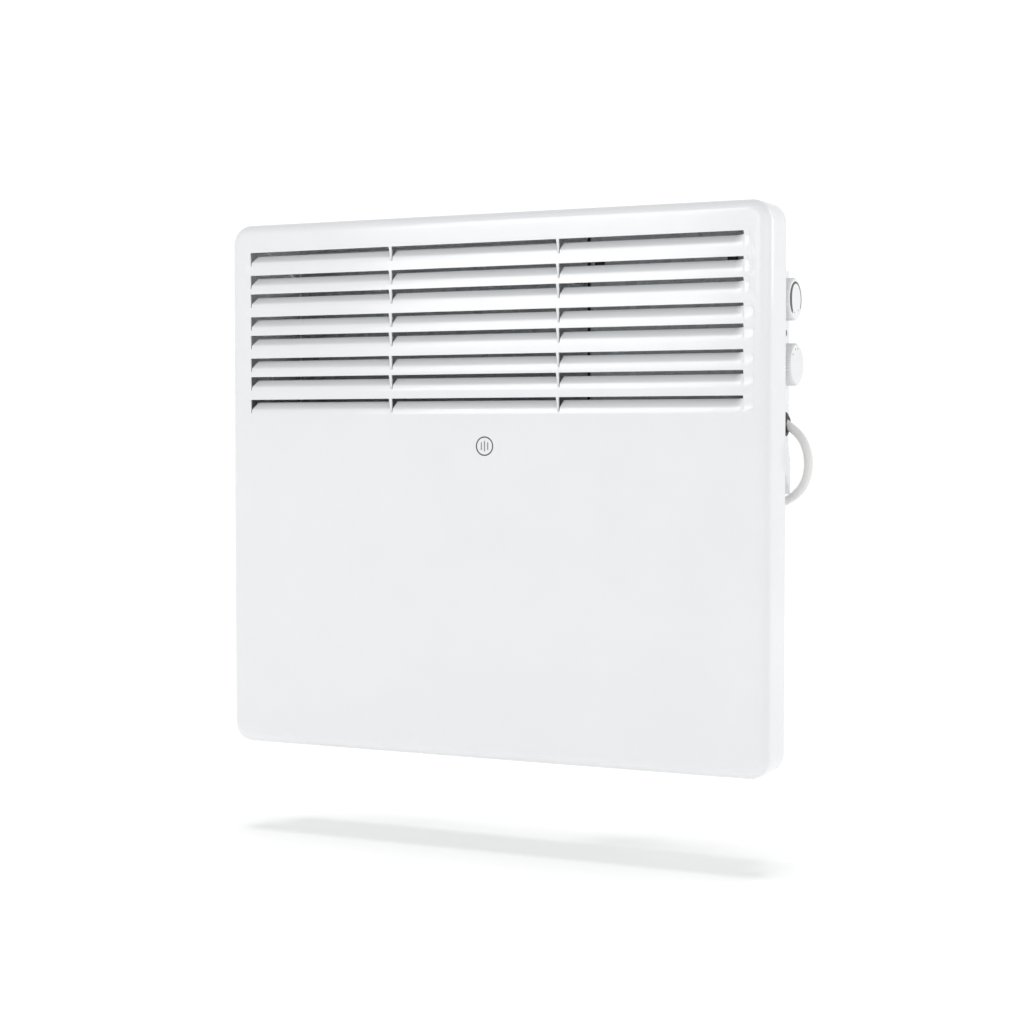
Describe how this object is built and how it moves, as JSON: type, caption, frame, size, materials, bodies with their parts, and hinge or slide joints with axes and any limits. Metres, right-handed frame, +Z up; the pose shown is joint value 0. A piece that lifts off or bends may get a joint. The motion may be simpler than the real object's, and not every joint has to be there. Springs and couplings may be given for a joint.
{
  "type": "panel convector heater",
  "caption": "Wall-hung panel convector heater: louvred steel front, side control knobs, finned element, small tangential blower, wall bracket and power cord.",
  "frame": {"origin": "on the wall plane, at the middle of the wall bracket's four screw holes, behind the middle of the body", "axes": "+Z up, +Y into the wall, so the louvred front faces -Y; +X to the right of someone facing the heater, where the controls are"},
  "size_m": [0.4515, 0.117, 0.4016],
  "materials": {
    "white_paint": "gloss",
    "galvanised_steel": "spangled",
    "plain_steel": "satin",
    "black_plastic": "satin",
    "white_plastic": "satin",
    "cord_sheath": "satin",
    "aluminium": "satin",
    "ceramic": "matt glazed ceramic",
    "brass": "satin",
    "copper": "lacquered copper",
    "capillary": "satin",
    "lamp_body": "satin",
    "lamp_lens": "clear tinted"
  },
  "bodies": {
    "heater": {"front_cover": "white_paint", "rear_case": "white_paint", "cover_screws": "plain_steel", "partition": "galvanised_steel", "partition_seal": "black_plastic", "control_shield": "galvanised_steel", "shield_clips": "black_plastic", "reflector": "galvanised_steel", "element_body": "aluminium", "element_core": "plain_steel", "element_bushes": "ceramic", "element_bracket_left": "galvanised_steel", "element_bracket_right": "galvanised_steel", "thermal_cutout": "black_plastic", "cutout_bracket": "galvanised_steel", "limiter_body": "galvanised_steel", "limiter_capillary": "capillary", "capillary_clips": "white_plastic", "fan_scroll": "galvanised_steel", "fan_tongue": "galvanised_steel", "fan_end_left": "galvanised_steel", "fan_end_right": "galvanised_steel", "fan_bearing": "black_plastic", "motor_stack": "plain_steel", "motor_coil": "copper", "motor_bridge_left": "plain_steel", "motor_bridge_right": "plain_steel", "motor_bolts": "plain_steel", "thermostat_body": "black_plastic", "thermostat_bulb": "copper", "selector_body": "black_plastic", "control_screws": "plain_steel", "pilot_lamp": "lamp_body", "pilot_lens": "lamp_lens", "cable_gland": "black_plastic", "gland_nut": "black_plastic", "cord_inner": "cord_sheath", "power_cord": "cord_sheath", "cord_coil": "cord_sheath", "cord_tail": "cord_sheath", "cord_tie": "black_plastic", "plug_sleeve": "cord_sheath", "plug_body": "white_plastic", "plug_pins": "brass", "terminal_block": "white_plastic", "terminal_screws": "brass", "earth_screw": "brass", "wire_grommet": "black_plastic", "inner_wires": "cord_sheath", "wall_bracket": "white_paint", "lock_screws": "plain_steel"},
    "thermostat_dial": {"thermostat_knob": "white_plastic", "thermostat_spindle": "plain_steel"},
    "selector_dial": {"selector_knob": "white_plastic", "selector_spindle": "plain_steel"},
    "blower_wheel": {"fan_wheel": "aluminium", "motor_shaft": "plain_steel", "motor_rotor": "plain_steel"}
  },
  "joints": [
    {"name": "thermostat_turn", "type": "hinge", "parent": "heater", "child": "thermostat_dial", "pos_m": [0.21, -0.0615, 0.134], "axis": [-1, 0, 0], "range_deg": [0, 300]},
    {"name": "selector_turn", "type": "hinge", "parent": "heater", "child": "selector_dial", "pos_m": [0.21, -0.0615, 0.088], "axis": [-1, 0, 0], "range_deg": [0, 135]},
    {"name": "blower_spin", "type": "hinge", "parent": "heater", "child": "blower_wheel", "pos_m": [0, -0.084, -0.156], "axis": [1, 0, 0], "continuous": true}
  ]
}
